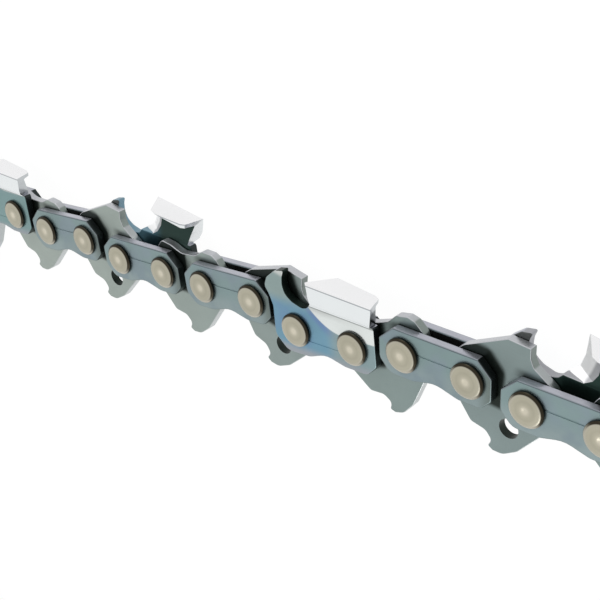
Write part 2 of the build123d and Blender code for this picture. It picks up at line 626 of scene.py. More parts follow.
@dataclass(frozen=True)
class EdgeFinish(SteelFinish):
    """Cut edges of a plate, brushed, with painted light and shade by the way that they face: pale on top, black at the
    rear.

    Attributes:
        under: painted shade on edges that face into the loop.
        line: painted shade on the broken edge between the top and the outer face.
        rear: painted shade on edges that face the rear.
    """

    under: Coat = Coat(linear(120, 134, 134), 0.5, 0.0)
    line: Coat = Coat(linear(92, 104, 108), 0.25, 0.5)
    rear: Coat = Coat(linear(46, 52, 52), 0.25, 0.6)

    def paint(self, board: NodeBoard) -> Paint:
        """A colour for each way that an edge faces, as painted light and shade.

        Args:
            board: the material's board.

        Returns:
            The colour over the surface.
        """
        along, up, out = board.facing()
        flat, top = board.math("ABSOLUTE", out), board.ramp(up, 0.1, 0.4)
        return board.coats(self.colour, (up, self.under), (flat, self.line, top), (along, self.rear))


@dataclass(frozen=True)
class DriveFinish(SteelFinish):
    """Drive link's flat faces, with painted shade where the plates and the cutter cover and shade them.

    Attributes:
        pale: colour of the paler links, along the part.
        painted_shade: colour of the painted shade.
        shelf_shade: how dark the painted shade on the shelf behind the saddle is.
        bumper: whether the link has a bumper.
    """

    wave: Point = (0.186, 0.06)
    pale: Colour = linear(158, 168, 162)
    painted_shade: Colour = linear(36, 44, 40)
    shelf_shade: float = 0.75
    bumper: bool = False

    def paint(self, board: NodeBoard) -> Paint:
        """Grey steel with painted shade round the front plate, beside the cutter, on the shelf and in the bored walls.

        Args:
            board: the material's board.

        Returns:
            The colour over the surface.
        """
        x, y, z = board.place()
        _, _, out = board.facing()
        if self.bumper:
            # painted shade: the plate ahead has a cut corner, and the cutter's gauge leans over the bumper and shades
            # it
            corner = board.both(board.ramp(board.math("ADD", x, y), 7.4, 6.0), board.ramp(y, 5.4, 4.4))
            plate = board.both(corner, board.ramp(x, 4.7, 3.9))
            gauge = board.line(board.minus(7.0, y), 0.62, 5.6)
            cutter = board.both(board.ramp(board.minus(x, gauge), 0.7, -0.5), board.ramp(y, 2.6, 3.2))
        else:
            plate = board.ramp(x, 4.2, 3.6)
            cutter = board.both(board.ramp(x, 5.6, 4.6), board.ramp(x, -1.6, -0.4), board.ramp(y, -2.6, -0.6))
        plate = board.both(plate, board.ramp(y, -3.5, -2.7))
        cutter = board.both(cutter, board.ramp(z, 0.2, 0.5))
        # painted shade on the shelf behind the saddle and on the bored walls of the hole
        shelf = board.both(board.ramp(y, 4.3, 3.4), board.ramp(y, 2.4, 3.0), board.ramp(x, 5.0, 7.2), self.shelf_shade)
        bore = board.ramp(board.math("ABSOLUTE", out), 0.5, 0.3)
        steel = board.mix(self.drift(board), self.colour, self.pale)
        return board.mix(board.either(plate, cutter, shelf, bore), steel, self.painted_shade)


@dataclass(frozen=True)
class DriveEdgeFinish(SteelFinish):
    """Drive link's cut edges, with painted shade where they face the rear.

    Attributes:
        under: on edges that face into the loop.
        rear: painted shade on edges that face the rear.
    """

    under: Coat = Coat(linear(186, 191, 191), 0.2, -0.2)
    rear: Coat = Coat(linear(128, 137, 133), 0.35, 0.75)

    def paint(self, board: NodeBoard) -> Paint:
        """Pale on top and round the tang, with painted shade where an edge faces the rear."""
        along, up, _ = board.facing()
        return board.coats(self.colour, (up, self.under), (along, self.rear, board.ramp(up, -0.2, 0.0)))


@dataclass(frozen=True)
class InsideFinish(SteelFinish):
    """Inner face of a cutter, painted dark as shade between the plates.

    Attributes:
        blue: near the gullet.
        gauge: inside the depth gauge.
    """

    wave: Point = (0.148, 0.069)
    blue: Coat = Coat(linear(58, 92, 104), 8.2, 5.2)
    gauge: Coat = Coat(linear(84, 87, 85), 0.2, -1.0)

    def paint(self, board: NodeBoard) -> Paint:
        """Dark green as painted shade, on some links bluer near the gullet, and grey in the depth gauge."""
        x, y, _ = board.place()
        return board.coats(self.colour, (x, self.blue, board.ramp(y, 6.2, 4.6), self.drift(board)),
                           (x, self.gauge, board.ramp(y, 4.2, 5.2)))


@dataclass(frozen=True)
class GulletFinish(SteelFinish):
    """Blue edge round the gullet of a far cutter.

    Attributes:
        grey: colour on other links along the part.
    """

    wave: Point = (0.148, -0.005)
    grey: Colour = linear(160, 161, 165)

    def paint(self, board: NodeBoard) -> Paint:
        """Blue that turns to grey along the part."""
        return board.mix(self.drift(board), self.colour, self.grey)


@dataclass(frozen=True)
class CutterFinish(SteelFinish):
    """Blue tempered cutter plate that is chromed above a slanting line.

    Attributes:
        violet: temper colour beside the chrome.
        haze: the same in patches.
        grey: on the depth gauge.
        tip: paler on the top of the depth gauge.
        rear: at the rear rivet.
        teal: on the paler links, below the gauge.
        low: along the lower edge.
        wall: painted shade on a wall of the channel that faces down.
        chrome: chrome colour.
        under_crease_shade: painted shade on the chrome under the crease, towards the gullet.
        crease: painted shade on the chrome in the crease.
        patch: scale of the patches.
        patch_share: their strength.
        level: height of the chrome's edge at the rear, and its rise on paler links.
        curve: where that edge begins to climb towards the gullet, and how steeply.
        crease_start: front end of the crease.
        crease_slope: of the crease, towards the rear.
        polish: how much smoother the chrome is.
    """

    violet: Coat = Coat(linear(108, 136, 174), 1.7, 0.3)
    haze: Coat = Coat(linear(108, 136, 174), 0.42, 0.68)
    grey: Coat = Coat(linear(142, 160, 158), 2.9, 5.2)
    tip: Coat = Coat(linear(196, 200, 197), 6.9, 7.7)
    rear: Coat = Coat(linear(136, 157, 160), 5.0, 7.6)
    teal: Coat = Coat(linear(122, 151, 151), 5.2, 2.9)
    low: Coat = Coat(linear(154, 160, 166), -1.9, -3.5)
    wall: Coat = Coat(linear(150, 154, 153), -0.3, -0.6)
    chrome: Colour = linear(222, 227, 225)
    under_crease_shade: Coat = Coat(linear(198, 202, 200), 1.3, 0.1)
    crease: Coat = Coat(linear(150, 154, 153), 0.4, 0.16)
    patch: float = 300
    patch_share: float = 0.5
    level: Point = (1.25, 2.6)
    curve: Point = (8.6, 0.083)
    crease_start: Point = (2.9, 4.53)
    crease_slope: float = -0.0543
    polish: float = 0.16

    def plated(self, board: NodeBoard) -> tuple[Socket, Socket]:
        """Where the chrome is, and the depth below its edge.

        Args:
            board: the material's board.

        Returns:
            The chrome's mask, and the height of its edge above a point.
        """
        x, y, _ = board.place()
        # the chrome's edge falls from the gullet to the rear rivet in a hollow curve, then runs level
        reach = board.math("MAXIMUM", board.minus(self.curve[0], x), 0.0)
        level = board.line(self.drift(board), self.level[1], self.level[0])
        below = board.minus(board.line(board.math("POWER", reach, 2.0), self.curve[1], level), y)
        return board.both(board.ramp(below, 0.1, -0.14), board.ramp(x, 1.9, 2.3)), below

    def paint(self, board: NodeBoard) -> Paint:
        """Temper colours from the gauge to the rear, and the chrome over them, with painted shade on down-facing
        channel walls and in and under the crease.

        Args:
            board: the material's board.

        Returns:
            The colour over the surface.
        """
        x, y, _ = board.place()
        _, up, _ = board.facing()
        mask, below = self.plated(board)
        patches = board.noise(board.where(), self.patch)
        body = board.coats(
            self.colour, (below, self.violet, board.ramp(x, 0.5, 2.5)), (patches, self.haze, self.patch_share),
            (y, self.grey), (board.line(x, 0.25, y), self.tip), (x, self.rear), (y, self.teal, self.drift(board)),
            (y, self.low), (up, self.wall))
        crease = board.line(board.minus(x, self.crease_start[0]), self.crease_slope, self.crease_start[1])
        under = board.minus(crease, y)
        # painted shade on the chrome under the crease and in it
        chrome = board.coats(self.chrome, (under, self.under_crease_shade, board.ramp(x, 11.0, 5.0)), (under, self.crease))
        return board.mix(mask, body, chrome)

    def gloss(self, board: NodeBoard, roughness: Socket) -> Socket:
        """Smoother where it is chromed."""
        return board.line(self.plated(board)[0], -self.polish, roughness)


@dataclass(frozen=True)
class ChromeFinish(SteelFinish):
    """Chrome of the tooth, from the crease up.

    Attributes:
        side: colour of the side plate, with painted reflection a little darker than the top plate's.
        fold: painted shade on the line where the fold begins.
        ledge: painted shade under the side plate, where it steps out from the crease.
        rear: colour of the trailing edge where it faces out, painted light.
        shade: colour of a trailing edge that faces away, above the fold.
        dark: painted shade on such an edge below the fold, on some links.
        fold_slope: how the fold's line falls towards the trailing edge.
    """

    side: Colour = linear(229, 233, 234)
    fold: Coat = Coat(linear(160, 164, 168), 8.82, 8.94)
    ledge: Coat = Coat(linear(118, 124, 126), -0.35, -0.6)
    rear: Colour = linear(224, 227, 228)
    shade: Colour = linear(190, 194, 196)
    dark: Coat = Coat(linear(78, 85, 86), 7.0, 6.4)
    fold_slope: float = 0.105

    def paint(self, board: NodeBoard) -> Paint:
        """Near white and brighter on top as painted reflection, with painted shade on the fold, under the ledge and on
        trailing edges that face away.

        Args:
            board: the material's board.

        Returns:
            The colour over the surface.
        """
        x, y, _ = board.place()
        along, up, out = board.facing()
        rise = board.line(x, self.fold_slope, y)
        top = board.either(board.ramp(up, 0.72, 0.86), board.ramp(rise, 8.98, 9.08))
        bend = board.both(board.ramp(rise, 9.12, 9.0), board.ramp(up, 0.7, 0.5))
        body = board.coats(board.mix(top, self.side, self.colour), (rise, self.fold, bend), (up, self.ledge))
        away = board.mix(self.drift(board), board.coats(self.shade, (y, self.dark)), self.shade)
        trailing = board.mix(board.ramp(out, 0.0, -0.2), self.rear, away)
        return board.mix(board.ramp(along, 0.45, 0.7), body, trailing)


@dataclass(frozen=True)
class GroundFinish(SteelFinish):
    """Freshly ground leading edge of a tooth.

    Attributes:
        hollow: low in the ground hollow.
        lean: of the line where the hollow begins.
    """

    hollow: Coat = Coat(linear(180, 181, 184), 4.0, 4.6)
    lean: float = -0.3

    def paint(self, board: NodeBoard) -> Paint:
        """White, greyer low in the hollow."""
        x, y, _ = board.place()
        return board.coats(self.colour, (board.line(y, self.lean, x), self.hollow))


@dataclass(frozen=True)
class RivetFinish(SteelFinish):
    """Spun rivet heads with faint rings, and painted shade that makes the rim black on its outer side.

    Attributes:
        centre: on the spot in the middle of a head.
        ring: on the ring inside the rim.
        bevel: colour of the rim's rounded edge on the inner side of the loop.
        bronze_and_shade: bronze tint and painted shade on the rounded edge on the outer side.
        rim: painted shade, black, on the outer part of the head's side.
        rings: number of the fine rings, in radians to a millimetre, and their strength.
        outward: the way that the painted shade on the rim faces, to the rear and out of the loop.
    """

    centre: Coat = Coat(linear(203, 197, 179), 0.95, 0.3)
    ring: Coat = Coat(linear(182, 178, 162), 1.75, 2.1)
    bevel: Colour = linear(190, 185, 170)
    bronze_and_shade: Coat = Coat(linear(46, 41, 30), -0.3, 0.15)
    rim: Coat = Coat(linear(16, 22, 19), -0.6, 0.1)
    rings: Point = (8.5, 0.035)
    outward: Point = (0.6, 0.8)

    def paint(self, board: NodeBoard) -> Paint:
        """Rings on the face, and a rim with painted shade that darkens up and to the rear.

        Args:
            board: the material's board.

        Returns:
            The colour over the surface.
        """
        x, y, _ = board.place()
        along, up, out = board.facing()
        radius = board.math("SQRT", board.line(y, y, board.both(x, x)))
        face = board.coats(self.colour, (radius, self.centre), (radius, self.ring))
        rings = board.line(board.math("SINE", board.both(radius, self.rings[0])), self.rings[1], 1.0)
        face = board.mix(1.0, face, board.grey(rings), "MULTIPLY")
        turn = board.line(along, self.outward[0], board.both(up, self.outward[1]))
        edge = board.coats(self.bevel, (turn, self.bronze_and_shade))
        side = board.coats(self.bronze_and_shade.colour, (turn, self.rim))
        flat = board.math("ABSOLUTE", out)
        return board.mix(board.ramp(flat, 0.75, 0.55), board.mix(board.ramp(flat, 0.97, 0.88), face, edge), side)


@dataclass
class Finishes:
    """All the finishes of the chain, made once."""

    surface: Tree = field(default_factory=rolled_surface)
    plate: PlateFinish = PlateFinish("blued_plate", linear(129, 149, 149))
    edge: EdgeFinish = EdgeFinish("brushed_edge_painted_light_and_shade", linear(172, 174, 183), roughness=0.32, streak=0.3)
    # the straps' inner faces: dark, as painted shade between the plates
    inside_shade: SteelFinish = SteelFinish("strap_inside_shade", linear(44, 46, 46), roughness=0.45)
    drive: DriveFinish = DriveFinish("drive_link_steel", linear(131, 146, 144))
    bumper: DriveFinish = DriveFinish("bumper_link_steel", linear(131, 145, 144), bumper=True)
    drive_edge: DriveEdgeFinish = DriveEdgeFinish(
        "drive_link_edge", linear(184, 186, 190), roughness=0.32, streak=0.25)
    cutter: CutterFinish = CutterFinish("tempered_cutter", linear(111, 151, 171), roughness=0.33)
    inside: InsideFinish = InsideFinish("cutter_inside", linear(38, 57, 52), roughness=0.36)
    # gullet edges of near cutters: black, as painted shade
    gullet: SteelFinish = SteelFinish("black_gullet", linear(26, 38, 33), roughness=0.4)
    blue_gullet: GulletFinish = GulletFinish("blue_gullet", linear(112, 142, 156), roughness=0.36, blotch=0.4)
    chrome: ChromeFinish = ChromeFinish(
        "chrome", linear(236, 236, 237), roughness=0.2, metallic=1.0, blotch=0.03, streak=0.02)
    ground: GroundFinish = GroundFinish("ground_edge", linear(252, 252, 252), roughness=0.4, metallic=0.7, blotch=0.02)
    rivet: RivetFinish = RivetFinish("spun_rivet", linear(172, 168, 150), roughness=0.34, blotch=0.3, streak=0.0)
    made: dict[str, bpy.types.Material] = field(default_factory=dict)

    def __post_init__(self) -> None:
        """Build every material."""
        for finish in vars(self).copy().values():
            if isinstance(finish, SteelFinish):
                self.made[finish.name] = finish.make(self.surface)

    def dress(self, piece: Piece, *finishes: SteelFinish) -> None:
        """Give a new piece its material slots in order."""
        for finish in finishes:
            piece.data.materials.append(self.made[finish.name])


@dataclass
class Plate:
    """A stamped plate with a hole at each rivet, in millimetres.

    Attributes:
        top: height of its outer face.
        thickness: of the plate.
        bevel: width of its broken edges.
        bevel_angle: least turn of an edge that is broken, in degrees.
        pitch: between the rivets.
        hole_radius: of the holes.
    """

    top: float = LAYERS.outer_face
    thickness: float = 1.3
    bevel: float = 0.16
    bevel_angle: float = 35
    pitch: float = LAYERS.side_pitch
    hole_radius: float = 1.3

    def blank(self, name: str, corners: Corners, finishes: Finishes, *slots: SteelFinish) -> Piece:
        """Cut the plate out and break its edges.

        Args:
            name: the new object's name.
            corners: of the outline, with their radii.
            finishes: the chain's materials.
            slots: the finishes of the plate's zones.

        Returns:
            The plate without its holes.
        """
        piece = Workbench.sheet(name, rounded(corners), self.top)
        finishes.dress(piece, *slots)
        Workbench.thicken(piece, self.thickness)
        Workbench.soften(piece, self.bevel, self.bevel_angle)
        return piece

    def drill(self, piece: Piece) -> None:
        """Bore the two rivet holes."""
        for x in (0.0, self.pitch):
            Workbench.drill(piece, x, 0.0, self.hole_radius)


@dataclass
class TieStrap(Plate):
    """Flat side plate with a lobe under each rivet and a shallow coined channel between them.

    Attributes:
        channel_depth: of the channel.
        channel_height: of the channel above the rivets' line.
        channel_size: its length and width.
        corners: of the outline, with their radii.
    """

    channel_depth: float = 0.11
    channel_height: float = 0.8
    channel_size: Point = (8.6, 0.3)
    corners: Corners = (
        (-3.85, 1.31, 0.5), (-1.6, 3.41, 0.5), (11.4, 3.41, 0.3), (13.49, 1.31, 0.5), (13.49, -1.9, 0.6),
        (11.9, -3.5, 1.4), (8.5, -3.5, 2.4), (5.0, -2.55, 4.0), (1.6, -3.5, 2.4), (-2.1, -3.5, 1.8),
        (-3.85, -1.7, 1.4))

    def channel(self, piece: Piece) -> None:
        """Press the channel into the outer face.

        Args:
            piece: the plate.
        """
        Workbench.clear()
        place = (self.pitch / 2 * MM, self.channel_height * MM, self.top * MM)
        bpy.ops.mesh.primitive_cube_add(size=MM, location=place)
        tool = bpy.context.object
        Workbench.open()
        bpy.ops.transform.resize(value=(*self.channel_size, 2 * self.channel_depth), center_override=place)
        Workbench.close()
        Workbench.combine(piece, tool)

    def build(self, finishes: Finishes) -> Piece:
        """Model one plate on the near side.

        Args:
            finishes: the chain's materials.

        Returns:
            The pattern to copy, in its link's own frame.
        """
        piece = self.blank("pattern_strap", self.corners, finishes, finishes.plate, finishes.inside_shade, finishes.edge)
        self.channel(piece)
        self.drill(piece)
        return Workbench.finish(piece)


@dataclass
class Cutter(TieStrap):
    """Cutter: plate with depth gauge and gullet, and a tooth folded over from a crease.

    The tooth is a shell drawn from its leading edge to its trailing edge. Its rows run from the foot inside the
    plate, up the side plate, round the fold and in along the top plate.

    Attributes:
        lead: outer rows at the leading edge.
        lead_inner: inner rows at the leading edge, set back by grinding.
        trail: outer rows at the trailing edge.
        trail_inner: inner rows at the trailing edge.
        wall_step: first step from the outer to the inner rows, before these are put in place.
        draw_step: first step from the leading to the trailing edge.
        tooth_start: x and y past which a face belongs to the tooth.
        gullet_span: front and rear of the gullet.
        gullet_floor: height from which the gullet's edge is black, as painted shade on near cutters.
        flat: facing from which a face is an outer or inner one.
    """

    bevel: float = 0.14
    bevel_angle: float = 50
    channel_depth: float = 0.05
    channel_height: float = -1.1
    corners: Corners = (
        (-4.1, 2.7, 1.0), (-4.68, 4.3, 1.2), (-5.4, 5.5, 0.9), (-4.75, 6.95, 1.2), (-2.95, 8.35, 0.9),
        (-1.3, 8.65, 0.2), (-1.75, 7.6, 0.9), (-1.9, 6.4, 1.5), (-1.55, 5.1, 1.6), (-0.4, 4.2, 1.8), (1.4, 3.65, 1.4),
        (2.3, 3.9, 0.8), (2.9, 4.53, 0.0), (13.74, 3.95, 0.0), (13.93, 3.6, 0.25), (13.93, -1.9, 0.8),
        (12.24, -3.5, 1.4), (8.4, -3.45, 2.2), (5.0, -2.65, 3.6), (2.0, -3.75, 2.0), (-2.1, -3.85, 1.9),
        (-4.2, -1.8, 1.5))
    lead: Corners = (
        (2.8, 3.4, 1.99), (2.92, 4.56, 2.03), (3.9, 5.12, 2.9), (4.2, 6.45, 3.5), (4.3, 8.0, 3.73), (4.32, 8.95, 3.87),
        (4.4, 9.11, 3.92), (4.49, 9.13, 3.8), (5.6, 8.94, 2.0), (6.3, 8.83, 0.9), (6.75, 8.75, 0.2), (6.85, 8.73, 0.03))
    lead_inner: Corners = (
        (4.6, 3.4, 0.76), (5.5, 4.3, 0.745), (6.67, 4.93, 0.88), (7.19, 5.75, 1.21), (7.25, 6.6, 1.53),
        (7.1, 7.55, 1.9), (7.1, 7.8, 2.0), (7.15, 7.95, 1.85), (7.3, 8.05, 1.35), (7.5, 8.15, 0.85), (7.6, 8.22, 0.2),
        (7.65, 8.22, 0.03))
    trail: Corners = (
        (13.1, 3.0, 1.99), (13.3, 3.98, 2.03), (13.93, 4.49, 2.73), (14.38, 5.45, 3.12), (14.67, 6.64, 3.22),
        (14.79, 7.42, 3.28), (14.84, 7.56, 3.3), (14.79, 7.6, 3.15), (14.3, 7.58, 1.7), (14.1, 7.57, 0.9),
        (13.85, 7.58, 0.35), (13.15, 7.68, 0.03))
    trail_inner: Corners = (
        (13.2, 3.0, 0.76), (13.3, 4.0, 0.745), (13.75, 5.2, 1.1), (14.0, 5.9, 1.37), (14.25, 6.5, 1.6),
        (14.4, 6.85, 1.75), (14.4, 6.92, 1.75), (14.35, 6.95, 1.65), (14.1, 6.95, 1.3), (13.9, 6.95, 0.85),
        (13.75, 6.97, 0.35), (13.15, 7.05, 0.03))
    wall_step: Corner = (0.5, -0.5, -0.5)
    draw_step: Corner = (30.0, 0.0, 0.0)
    tooth_start: Point = (2.6, 4.6)
    gullet_span: Point = (-2.4, 5.5)
    gullet_floor: float = 3.2
    flat: float = 0.7

    def tooth(self) -> Piece:
        """Draw the tooth out from its leading edge.

        Returns:
            The tooth, with its faces sorted into slots.
        """
        lead, lead_inner, trail, trail_inner = (
            [Vector(p) for p in row] for row in (self.lead, self.lead_inner, self.trail, self.trail_inner))
        inward, rearward = Vector(self.wall_step), Vector(self.draw_step)
        piece = Workbench.trace("tooth", lead)
        bpy.ops.mesh.extrude_edges_move(TRANSFORM_OT_translate={"value": inward * MM})
        Workbench.close()
        Workbench.shift(piece, [p + inward for p in lead], lead_inner)
        Workbench.whole(piece)
        bpy.ops.mesh.select_mode(type="FACE")
        bpy.ops.mesh.select_all(action="SELECT")
        bpy.ops.mesh.extrude_region_move(TRANSFORM_OT_translate={"value": rearward * MM})
        Workbench.close()
        Workbench.shift(piece, [p + rearward for p in lead + lead_inner], trail + trail_inner)
        Workbench.whole(piece)
        bpy.ops.mesh.normals_make_consistent(inside=False)
        Workbench.close()
        self.sort_tooth(piece)
        return piece

    def sort_tooth(self, piece: Piece) -> None:
        """Give each of the tooth's faces its slot, by the rows that it joins.

        Args:
            piece: the tooth.
        """
        front, inner = ({Workbench.nearest(piece, Vector(p)) for p in rows}
                        for rows in (self.lead + self.lead_inner, self.lead_inner + self.trail_inner))
        for face in piece.data.polygons:
            joined = set(face.vertices)
            face.material_index = Zone.GROUND if joined <= front else Zone.INSIDE if joined <= inner else Zone.CHROME

    def sort_faces(self, piece: Piece) -> None:
        """Give each of the plate's faces its slot, by its place and facing.

        Args:
            piece: the cutter.
        """
        front, rear = self.gullet_span
        for face in piece.data.polygons:
            x, y, _ = face.center / MM
            along, up, out = face.normal
            on_tooth = x > self.tooth_start[0] and y > self.tooth_start[1]
            if on_tooth or face.material_index in (Zone.CHROME, Zone.GROUND):
                continue
            if abs(out) > self.flat:
                face.material_index = Zone.OUTSIDE if out > 0 else Zone.INSIDE
            # gullet edges that face the rear or up take the gullet slot: black painted shade on near cutters
            elif front < x < rear and y > self.gullet_floor and (along > 0.0 or up > 0.5):
                face.material_index = Zone.GULLET
            elif face.material_index != Zone.OUTSIDE:
                face.material_index = Zone.EDGE

    def build(self, finishes: Finishes) -> Piece:
        """Model one near-side cutter.

        Args:
            finishes: the chain's materials.

        Returns:
            The pattern to copy, in its link's own frame.
        """
        slots = (finishes.cutter, finishes.inside, finishes.edge, finishes.gullet, finishes.chrome, finishes.ground)
        piece = self.blank("pattern_cutter", self.corners, finishes, *slots)
        tooth = self.tooth()
        finishes.dress(tooth, *slots)
        Workbench.combine(piece, tooth, "UNION")
        self.channel(piece)
        self.drill(piece)
        self.sort_faces(piece)
        return Workbench.finish(piece)


@dataclass
class Rivet:
    """Rivet: hub between the plates and a spun head outside each of them, about its own axis.

    Attributes:
        head_radius: of the heads.
        hub_radius: of the hub.
        neck_radius: in the plates.
        dimple: radius and depth of points in the middle of a head.
        rim: distance in from the head's edge and depth of points at its rim.
        slack: room left to the plates.
        steps: sides of the turned shape.
        smooth_angle: largest turn that is shaded smooth, in degrees.
    """

    head_radius: float = 2.5
    hub_radius: float = 1.75
    neck_radius: float = 1.25
    dimple: tuple[Point, ...] = ((0.0, 0.07), (0.28, 0.07), (0.42, 0.02), (0.62, 0.0))
    rim: tuple[Point, ...] = ((0.58, 0.01), (0.36, 0.06), (0.15, 0.17), (0.02, 0.32), (0.0, 0.45))
    slack: float = 0.01
    steps: int = 56
    smooth_angle: float = 32

    def profile(self) -> list[Point]:
        """Half of the section, from the near head's middle out and down to the middle plane.

        Returns:
            Radius and height of its points, in millimetres.
        """
        top, edge, slack = LAYERS.head_top, self.head_radius, self.slack
        base, inner = LAYERS.outer_face, LAYERS.inner_face - slack
        head = [(r, top - depth) for r, depth in self.dimple] + [(edge - r, top - depth) for r, depth in self.rim]
        return head + [(edge - 2 * slack, base + 2 * slack), (self.neck_radius, base + slack),
                       (self.neck_radius, inner), (self.hub_radius, inner)]

    def build(self, finishes: Finishes) -> Piece:
        """Turn one rivet.

        Args:
            finishes: the chain's materials.

        Returns:
            The pattern to copy, with its axis at the origin.
        """
        half = self.profile()
        section = half + [(r, -z) for r, z in reversed(half)]
        piece = Workbench.trace("pattern_rivet", [Vector((r, 0, z)) for r, z in section])
        bpy.ops.mesh.spin(steps=self.steps, angle=2 * math.pi, center=(0, 0, 0), axis=(0, 0, 1))
        bpy.ops.mesh.select_all(action="SELECT")
        bpy.ops.mesh.remove_doubles(threshold=0.001 * MM)
        bpy.ops.mesh.normals_make_consistent(inside=False)
        Workbench.close()
        finishes.dress(piece, finishes.rivet)
        return Workbench.finish(piece, self.smooth_angle)


@dataclass
class DriveLink(Plate):
    """Drive link: round ends, a saddled top and a hooked tang.

    Attributes:
        crest: corners of the upper outline, with their radii.
        tang: corners of the lower outline, with their radii.
        oil_hole: x, y and radius of a hole in the tang.
    """

    top: float = LAYERS.drive_half
    thickness: float = 2 * LAYERS.drive_half
    bevel: float = 0.09
    pitch: float = LAYERS.drive_pitch
    hole_radius: float = 1.81
    crest: Corners = (
        (-2.9, 2.4, 1.6), (-1.2, 4.45, 0.8), (0.7, 4.2, 1.4), (3.0, 3.35, 2.6), (6.0, 3.75, 2.0), (7.6, 4.78, 0.9),
        (9.5, 4.74, 0.5), (10.6, 4.15, 0.7), (11.7, 2.5, 1.4))
    tang: Corners = (
        (11.7, -0.6, 2.4), (11.1, -2.9, 1.5), (9.4, -5.2, 0.6), (7.2, -8.15, 2.2), (5.2, -9.62, 1.8),
        (3.75, -9.72, 0.5), (2.95, -9.3, 0.3), (3.45, -8.3, 1.2), (2.4, -7.2, 1.3), (0.15, -6.9, 0.9),
        (-2.75, -3.5, 1.2), (-3.2, -0.6, 2.2))
    oil_hole: Corner | None = None

    def faces(self, finishes: Finishes) -> SteelFinish:
        """The finish of the flat faces."""
        return finishes.drive

    def build(self, finishes: Finishes, name: str) -> Piece:
        """Model one drive link, with the next cutter on its near side.

        Args:
            finishes: the chain's materials.
            name: the pattern's name.

        Returns:
            The pattern to copy, in its link's own frame.
        """
        faces = self.faces(finishes)
        piece = self.blank(name, self.crest + self.tang, finishes, faces, faces, finishes.drive_edge)
        self.drill(piece)
        if self.oil_hole:
            Workbench.drill(piece, *self.oil_hole)
        return Workbench.finish(piece)


@dataclass
class BumperLink(DriveLink):
    """Drive link with a bumper beside the depth gauge and an oil hole in its tang."""

    crest: Corners = (
        (-3.2, 2.4, 1.4), (-2.0, 3.72, 1.0), (4.05, 7.28, 0.3), (7.3, 7.28, 0.12), (7.4, 5.9, 0.8), (7.95, 4.85, 0.8),
        (11.3, 2.9, 1.6))
    oil_hole: Corner | None = (5.65, -5.3, 1.4)

    def faces(self, finishes: Finishes) -> SteelFinish:
        """The finish of the flat faces."""
        return finishes.bumper


@dataclass
class ChainLoop:
    """The whole chain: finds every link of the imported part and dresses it.

    Attributes:
        finishes: the chain's materials.
        patterns: one model of each kind of piece.
    """

    finishes: Finishes
    patterns: dict[str, Piece] = field(default_factory=dict)

    @staticmethod
    def pivots() -> dict[int, Vector]:
        """Place of every rivet, the one without a joint from its opposite.

        Returns:
            The places by the rivets' numbers, in metres.
        """
        found = {int(j["name"].split("_")[1]): Vector(j["pos_m"]) for j in frame["joints"]}
        count = len(frame["bodies"])
        for i in range(count):
            if i not in found:
                twin = found[(i + count // 2) % count]
                found[i] = Vector((-twin.x, -twin.y, twin.z))
        return found

    def make_patterns(self) -> None:
        """Model each kind of piece once."""
        self.patterns = {
            "strap": TieStrap().build(self.finishes),
            "cutter": Cutter().build(self.finishes),
            "rivet": Rivet().build(self.finishes),
            "plain": DriveLink().build(self.finishes, "pattern_drive_link"),
            "bumper": BumperLink().build(self.finishes, "pattern_bumper_link"),
        }

    def mirror(self, piece: Piece) -> None:
        """Turn a near-side copy into its far-side mirror image.

        Args:
            piece: the copy, in its link's own frame.
        """
        Workbench.whole(piece)
        bpy.ops.transform.resize(value=(1, 1, -1), center_override=(0, 0, 0))
        bpy.ops.mesh.flip_normals()
        Workbench.close()
        for item in piece.data.attributes[FACING].data:
            x, y, z = item.vector
            item.vector = (x, y, -z)

    def stamp(self, pattern: str, name: str, place: Matrix, body: str, side: Side = Side.NEAR) -> None:
        """Copy a pattern into its place on a body.

        Args:
            pattern: which pattern to copy.
            name: the new piece's name.
            place: the link's frame.
            body: the CAD body and node that it stands for.
            side: the near pattern, or its mirror image for the far side.
        """
        piece = new_object(name, self.patterns[pattern].data.copy())
        if side is Side.FAR:
            self.mirror(piece)
            # a far cutter's gullet edge is blue; a near one keeps the black painted shade
            if pattern == "cutter":
                piece.data.materials[Zone.GULLET] = self.finishes.made[self.finishes.blue_gullet.name]
        piece.data.transform(place)
        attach(piece, body)
        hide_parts(body)
        log.info("%s rides on %s", name, body)

    def dress(self) -> None:
        """Put every piece in its place."""
        pivots = self.pivots()
        count = len(pivots)
        for body in frame["bodies"]:
            word, number = body.rsplit("_", 1)
            kind = LinkKind(word)
            drive = kind in (LinkKind.PLAIN_DRIVE, LinkKind.BUMPER_DRIVE)
            index = 2 * int(number) + int(drive)
            front, rear = pivots[index], pivots[(index + 1) % count]
            along = rear - front
            place = Matrix.Translation(front) @ Matrix.Rotation(math.atan2(along.y, along.x), 4, "Z")
            if drive:
                plain = kind is LinkKind.PLAIN_DRIVE
                cutter = int(number) + int(not plain)
                side = Side.NEAR if cutter % (count // 2) % NEAR_EVERY == 0 else Side.FAR
                self.stamp("plain" if plain else "bumper", f"drive_link_{number}", place, body, side)
                continue
            near = "cutter" if kind is LinkKind.NEAR_CUTTER else "strap"
            far = "cutter" if kind is LinkKind.FAR_CUTTER else "strap"
            self.stamp(near, f"near_{near}_{number}", place, body)
            self.stamp(far, f"far_{far}_{number}", place, body, Side.FAR)
            for end, x in (("front", 0.0), ("rear", LAYERS.side_pitch)):
                axis = place @ Matrix.Translation((x * MM, 0, 0))
                self.stamp("rivet", f"{end}_rivet_{number}", axis, body)
        for pattern in self.patterns.values():
            bpy.data.objects.remove(pattern)


@dataclass(frozen=True)
class Lamp:
    """A soft lamp that faces the middle rivet.

    Attributes:
        name: the lamp's name.
        place: where it stands, as right, up and towards the camera from the middle rivet, in millimetres.
        size: its width, in millimetres.
        power: its power, in watts.
    """

    name: str
    place: Corner
    size: float
    power: float


